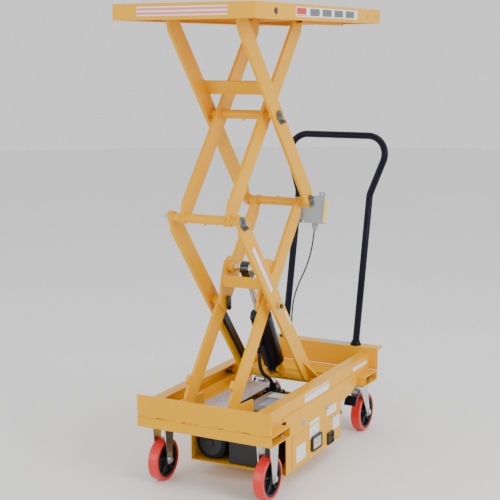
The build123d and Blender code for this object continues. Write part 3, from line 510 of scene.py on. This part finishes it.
def make_studio():
    """Soft key from the panel side, a fill from the front and a bright even surround."""
    area_light("key", at(1.4, 4.2, 2.4), at(0, 0, 0.8), (2.2, 2.2), 120)
    area_light("front_fill", at(4.4, -1.8, 1.6), at(0, 0, 0.9), (2.4, 2.4), 50)
    area_light("top", at(0.2, 0.4, 4.4), at(0, 0, 0.5), (3.0, 2.4), 60)
    world = bpy.data.worlds.new("studio")
    world.use_nodes = True
    world.node_tree.nodes["Background"].inputs["Color"].default_value = (1, 1, 1, 1)
    world.node_tree.nodes["Background"].inputs["Strength"].default_value = 1.0
    bpy.context.scene.world = world


def make_floor():
    bm = bmesh.new()
    bmesh.ops.create_circle(bm, cap_ends=True, radius=14.0, segments=96)
    mesh = bpy.data.meshes.new("studio_floor")
    bm.to_mesh(mesh)
    bm.free()
    floor = bpy.data.objects.new("studio_floor", mesh)
    bpy.context.collection.objects.link(floor)
    s = Shader("pale_floor", 0.6)
    s.colour(s.mix(s.noise(1.5, 3.0), (0.86, 0.86, 0.86, 1), (0.9, 0.9, 0.9, 1)))
    mesh.materials.append(s.material)


# ---- cords ---------------------------------------------------------------------------------------
PENDANT_CORD_ROUTE = [
    at(-0.677, -0.085, 0.772), at(-0.664, -0.086, 0.712), at(-0.648, -0.092, 0.655),
    at(-0.630, -0.105, 0.600), at(-0.606, -0.122, 0.548), at(-0.586, -0.135, 0.492),
    at(-0.573, -0.137, 0.436), at(-0.560, -0.134, 0.386), at(-0.555, -0.129, 0.342),
]
HOSE_ROUTE = [
    at(-0.014, 0.0, 0.404), at(-0.014, 0.0, 0.372), at(-0.024, 0.0, 0.340), at(-0.046, 0.0, 0.314),
    at(-0.078, 0.0, 0.296), at(-0.106, 0.0, 0.278), at(-0.124, 0.0, 0.254),
]


def spline_points(curve_obj):
    """Points along a curve's own line, read from its spline without the bevel."""
    depth = curve_obj.data.bevel_depth
    curve_obj.data.bevel_depth = 0.0
    bpy.context.view_layer.update()
    line = bpy.data.meshes.new_from_object(curve_obj)
    curve_obj.data.bevel_depth = depth
    points = [v.co.copy() for v in line.vertices]
    bpy.data.meshes.remove(line)
    return points


def make_pendant_cord():
    """Cord that hangs from the pendant and ends in a gland on the handle."""
    cord = tube_mesh("pendant_cable", PENDANT_CORD_ROUTE, 3.0 * MM, "cord", "chassis")
    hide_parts("pendant_cord")


def make_hose():
    """Hydraulic hose as a mesh tube swept along a NURBS guide that is then removed."""
    radius, sides = 7 * MM, 24
    guide = tube_mesh("hose_guide", HOSE_ROUTE, radius, "cord", "chassis")
    path = spline_points(guide)
    bpy.data.objects.remove(guide)
    bm = bmesh.new()
    rings = []
    for n, point in enumerate(path):
        ahead = path[min(n + 1, len(path) - 1)] - path[max(n - 1, 0)]
        matrix = Matrix.Translation(point) @ basis(ahead, (0, 1, 0))
        ring = []
        for k in range(sides):
            a = math.tau * k / sides
            ring.append(bm.verts.new(matrix @ Vector((radius * math.cos(a), radius * math.sin(a), 0))))
        rings.append(ring)
    for low, high in zip(rings, rings[1:]):
        join_rings(bm, low, high)
    bm.faces.new(rings[0][::-1])
    bm.faces.new(rings[-1])
    hose = finish_mesh("pressure_hose", bm, "cord", "chassis", sharp_angle=math.radians(60))
    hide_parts("hydraulic_hose")
    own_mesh(hose)


# ---- labels --------------------------------------------------------------------------------------
def place_labels():
    """Blank labels: white fields and coloured bands where the real table carries printed ones."""
    top = PLATFORM_HIGH.z
    low_z, high_z = top - 40 * MM, top - 11 * MM
    two_bands = label_material("label_front_skirt", [
        (0, WHITE_VINYL), (low_z + 4 * MM, PALE_RED), (low_z + 12 * MM, WHITE_VINYL),
        (low_z + 17 * MM, PALE_RED), (low_z + 25 * MM, WHITE_VINYL)])
    front_label("front_skirt_label", -0.166, 0.163, low_z, high_z, PLATFORM_HIGH.x, two_bands, "platform")
    side_y = PLATFORM_HIGH.y
    red = label_material("label_red_block", [(0, srgb(205, 44, 38)), (top - 36 * MM, srgb(236, 205, 200)),
                                             (top - 33 * MM, srgb(205, 44, 38))])
    white = label_material("label_white", [(0, WHITE_VINYL)])
    slate = label_material("label_slate", [(0, SLATE)])
    x = MIDDLE_X
    face_label("side_skirt_label", x - 0.281, x + 0.228, top - 41 * MM, top - 10 * MM, side_y, white,
               "platform")
    face_label("side_skirt_red", x + 0.150, x + 0.222, top - 38 * MM, top - 13 * MM, side_y + SKIN,
               red, "platform")
    for n in range(4):
        start = x + 0.120 - n * 0.098
        face_label(f"side_skirt_panel_{n}", start - 0.074, start, top - 37 * MM, top - 14 * MM,
                   side_y + SKIN, slate, "platform")
    rail_y = RAIL_HIGH.y
    rail = label_material("label_rail", [(0, WHITE_VINYL), (RAIL_HIGH.z - 19 * MM, PALE_RED),
                                         (RAIL_HIGH.z - 14 * MM, WHITE_VINYL)])
    face_label("rail_label_front", x - 0.133, x + 0.074, RAIL_HIGH.z - 42 * MM, RAIL_HIGH.z - 10 * MM,
               rail_y, rail, "chassis")
    face_label("rail_label_rear", x - 0.500, x - 0.360, RAIL_HIGH.z - 34 * MM, RAIL_HIGH.z - 16 * MM,
               rail_y, rail, "chassis")
    face = PANEL_HIGH.y
    notice = label_material("label_notice", [(0, WHITE_VINYL), (0.168, srgb(232, 196, 70)),
                                             (0.176, WHITE_VINYL)])
    face_label("panel_label_middle", x - 0.042, x + 0.039, 0.122, 0.188, face, notice, "chassis")
    face_label("panel_label_rear", x - 0.196, x - 0.112, 0.168, 0.198, face, white, "chassis")
    face_label("panel_label_plate", x - 0.225, x - 0.165, 0.100, 0.146, face, white, "chassis")
    face_label("cover_label", x + 0.078, x + 0.152, 0.072, 0.130, face + 2 * MM, white, "chassis")
    blue = label_material("label_blue", [(0, PALE_BLUE)])
    z = REAR_HIGH.z
    label("rear_flange_label", [at(-0.573, 0.005, z), at(-0.535, 0.005, z), at(-0.535, 0.120, z),
                                at(-0.573, 0.120, z)], blue, "chassis")
    top_z = CHARGER_HIGH.z
    label("charger_label_blue", [at(0.020, 0.060, top_z), at(0.110, 0.060, top_z), at(0.110, 0.140, top_z),
                                 at(0.020, 0.140, top_z)], blue, "chassis")
    label("charger_label_white", [at(-0.050, 0.040, top_z), at(0.005, 0.040, top_z),
                                  at(0.005, 0.150, top_z), at(-0.050, 0.150, top_z)], white, "chassis")


def arm_label(name, s0, s1, o0, o1, material):
    """Label on the outer face of the left lower outer arm."""
    y = OUTER_FACE
    corners = [arm_point(ROLLER_PIVOT, False, s, o, y) for s, o in ((s0, o0), (s0, o1), (s1, o1), (s1, o0))]
    label(name, corners[::-1], material, "lower_outer_stage")


def place_arm_labels():
    white = label_material("arm_label_white", [(0, WHITE_VINYL)])
    red = label_material("arm_label_red", [(0, PALE_RED)])
    arm_label("arm_label", 0.505, 0.725, -0.0085, 0.0082, white)
    arm_label("arm_label_band", 0.505, 0.723, -0.0155, -0.0086, red)
    arm_label("arm_strip", 0.296, 0.372, -0.026, -0.019, white)
    spot = arm_point(ROLLER_PIVOT, False, 0.305, 0.004, OUTER_FACE)
    lathe("arm_rivet", [(0, 0), (2.6 * MM, 0), (2.2 * MM, 0.6 * MM), (0, 0.8 * MM)], spot, (0, 1, 0),
          "dark_zinc", "lower_outer_stage", 20)


# ---- small hardware ------------------------------------------------------------------------------
def dress_panel():
    """Gauge glass with its yellow strip and the pins of the charging socket."""
    x, face = MIDDLE_X, PANEL_HIGH.y
    glass = plastic_material("gauge_glass", srgb(184, 182, 170), srgb(164, 162, 150), 0.2, 400.0, 0.01, 0.4)
    block("gauge_face", (x - 0.0455, face + 7.0 * MM, 0.0825), (x + 0.0215, face + 7.6 * MM, 0.1215), glass,
          "chassis", 0.3 * MM)
    block("gauge_strip", (x - 0.038, face + 7.5 * MM, 0.0845), (x + 0.014, face + 8.1 * MM, 0.0905),
          "yellow_plastic", "chassis", 0.2 * MM)
    socket_x, socket_rows, pin_step = -0.137, (0.069, 0.091), 12 * MM
    pin = [(0, 0), (1.6 * MM, 0), (1.6 * MM, 3.4 * MM), (0, 4.0 * MM)]
    bm = bmesh.new()
    for z in socket_rows:
        for column in (-1, 0, 1):
            spot = at(socket_x + column * pin_step, face + 3 * MM, z)
            add_lathe(bm, pin, Matrix.Translation(spot) @ basis((0, 1, 0)), 14)
    finish_mesh("socket_pins", bm, "brass", "chassis")


def dress_skirt():
    """Gloss black disc near the front end of the platform's left skirt: painted shade standing in for the
    dark inside of the round hole there.
    """
    hole_shade_profile = [(0, 0), (12.2 * MM, 0), (11.6 * MM, 1.0 * MM), (9.0 * MM, 1.4 * MM), (0, 1.4 * MM)]
    spot = at(0.369, PLATFORM_HIGH.y - 0.4 * MM, PLATFORM_HIGH.z - 27 * MM)
    # painted shade: a black disc set proud of the skirt where the round hole shows dark
    lathe("skirt_hole_painted_shade", hole_shade_profile, spot, (0, 1, 0), "gloss_black", "platform", 28)


def dress_power_pack():
    """Red battery cable, motor end cap and the ferrule at the foot of the hose."""
    red = [at(-0.02, 0.090, 0.150), at(0.00, 0.020, 0.205), at(0.010, 0.022, 0.226), at(0.010, 0.030, 0.214)]
    cable = tube_mesh("battery_cable_red", red, 3.5 * MM, "red_plastic", "chassis")
    cap = [(0, 0), (46 * MM, 0), (44 * MM, 3 * MM), (14 * MM, 4 * MM), (12 * MM, 9 * MM), (0, 9 * MM)]
    lathe("motor_end_cap", cap, at(0.212, -0.078, 0.118), (1, 0, 0), "black_plastic", "chassis")
    ferrule = [(0, 0), (9.5 * MM, 0), (9.5 * MM, 7 * MM), (8.4 * MM, 8 * MM), (8.4 * MM, 16 * MM),
               (0, 16 * MM)]
    foot = HOSE_ROUTE[-1] - Vector((0, 0, 10 * MM))
    lathe("hose_ferrule_foot", ferrule, foot, (0, 0, 1), "zinc", "chassis", 24)


def dress_rod_eye():
    """Bright cones on the pin, one on each side of the rod's eye."""
    cone = [(0, 0), (22 * MM, 0), (22 * MM, 1.5 * MM), (12.6 * MM, 17 * MM), (0, 17 * MM)]
    eye_half = 16.2 * MM
    for name, side in SIDES:
        spot = ROD_EYE + Vector((0, side * eye_half, 0))
        lathe(f"rod_eye_cone_{name}", cone, spot, (0, side, 0), "chrome", "ram", 40)


def add_ring_bead(bm, centre, y, radius):
    """Weld bead round a tube that runs along Y."""
    matrix = Matrix.Translation(Vector((centre.x, y, centre.z))) @ basis((0, 1, 0))
    thick = WELD_RADIUS
    profile = [(radius + thick * (0.5 + 0.5 * math.cos(t)), thick * 0.8 * math.sin(t))
               for t in (math.tau * n / 10 for n in range(10))]
    add_lathe(bm, profile, matrix, 56)


def add_arm_welds():
    """Weld beads where the cross tubes meet the inner arms."""
    tube_radius = 17.6 * MM
    y = INNER_FACE - ARM_THICKNESS - 0.6 * MM
    sets = (
        ("welds_rear_mid", REAR_MID, "lower_inner_stage"),
        ("welds_front_mid", FRONT_MID, "upper_inner_stage"),
        ("welds_upper_cross", UPPER_CROSS, "upper_inner_stage"),
    )
    for name, centre, body in sets:
        bm = bmesh.new()
        for side in (-1, 1):
            add_ring_bead(bm, centre, side * y, tube_radius)
        finish_mesh(name, bm, "paint", body, sharp_angle=math.radians(70))


def add_chassis_welds():
    """Stitch welds under the front end plate, and beads along the base brackets and the rails."""
    x, z = FRONT_HIGH.x - 0.4 * MM, FRONT_LOW.z + 1 * MM
    first_y, pitch, stitch = -0.252, 0.092, 0.040
    seams = []
    for n in range(6):
        y = first_y + n * pitch
        seams.append(((x, y, z), (x, y + stitch, z)))
    bracket_z = TUBE_HIGH.z + 0.5 * MM
    for side in (-1, 1):
        bracket_y = side * 0.1025
        seams.append((at(0.236, bracket_y, bracket_z), at(0.395, bracket_y, bracket_z)))
        seams.append((at(-0.5225, side * 0.18, RAIL_HIGH.z), at(-0.5225, side * 0.222, RAIL_HIGH.z)))
    welds("chassis_welds", seams, WELD_RADIUS, "chassis")


def add_platform_welds():
    """Beads where the hinge brackets meet the underside of the platform."""
    top_z = PLATFORM_HIGH.z - 4.6 * MM
    seams = []
    for side in (-1, 1):
        y = side * (OUTER_FACE + 11.0 * MM)
        seams.append((at(0.332, y, top_z), at(0.408, y, top_z)))
    welds("platform_bracket_welds", seams, WELD_RADIUS, "platform")


make_camera()
make_studio()
make_floor()
dress_nodes()
repaint_pins()
repaint_cylinder()
repaint_small_parts()
make_pendant_cord()
make_hose()
place_labels()
place_arm_labels()
dress_panel()
dress_skirt()
dress_power_pack()
dress_rod_eye()
add_arm_welds()
add_chassis_welds()
add_platform_welds()
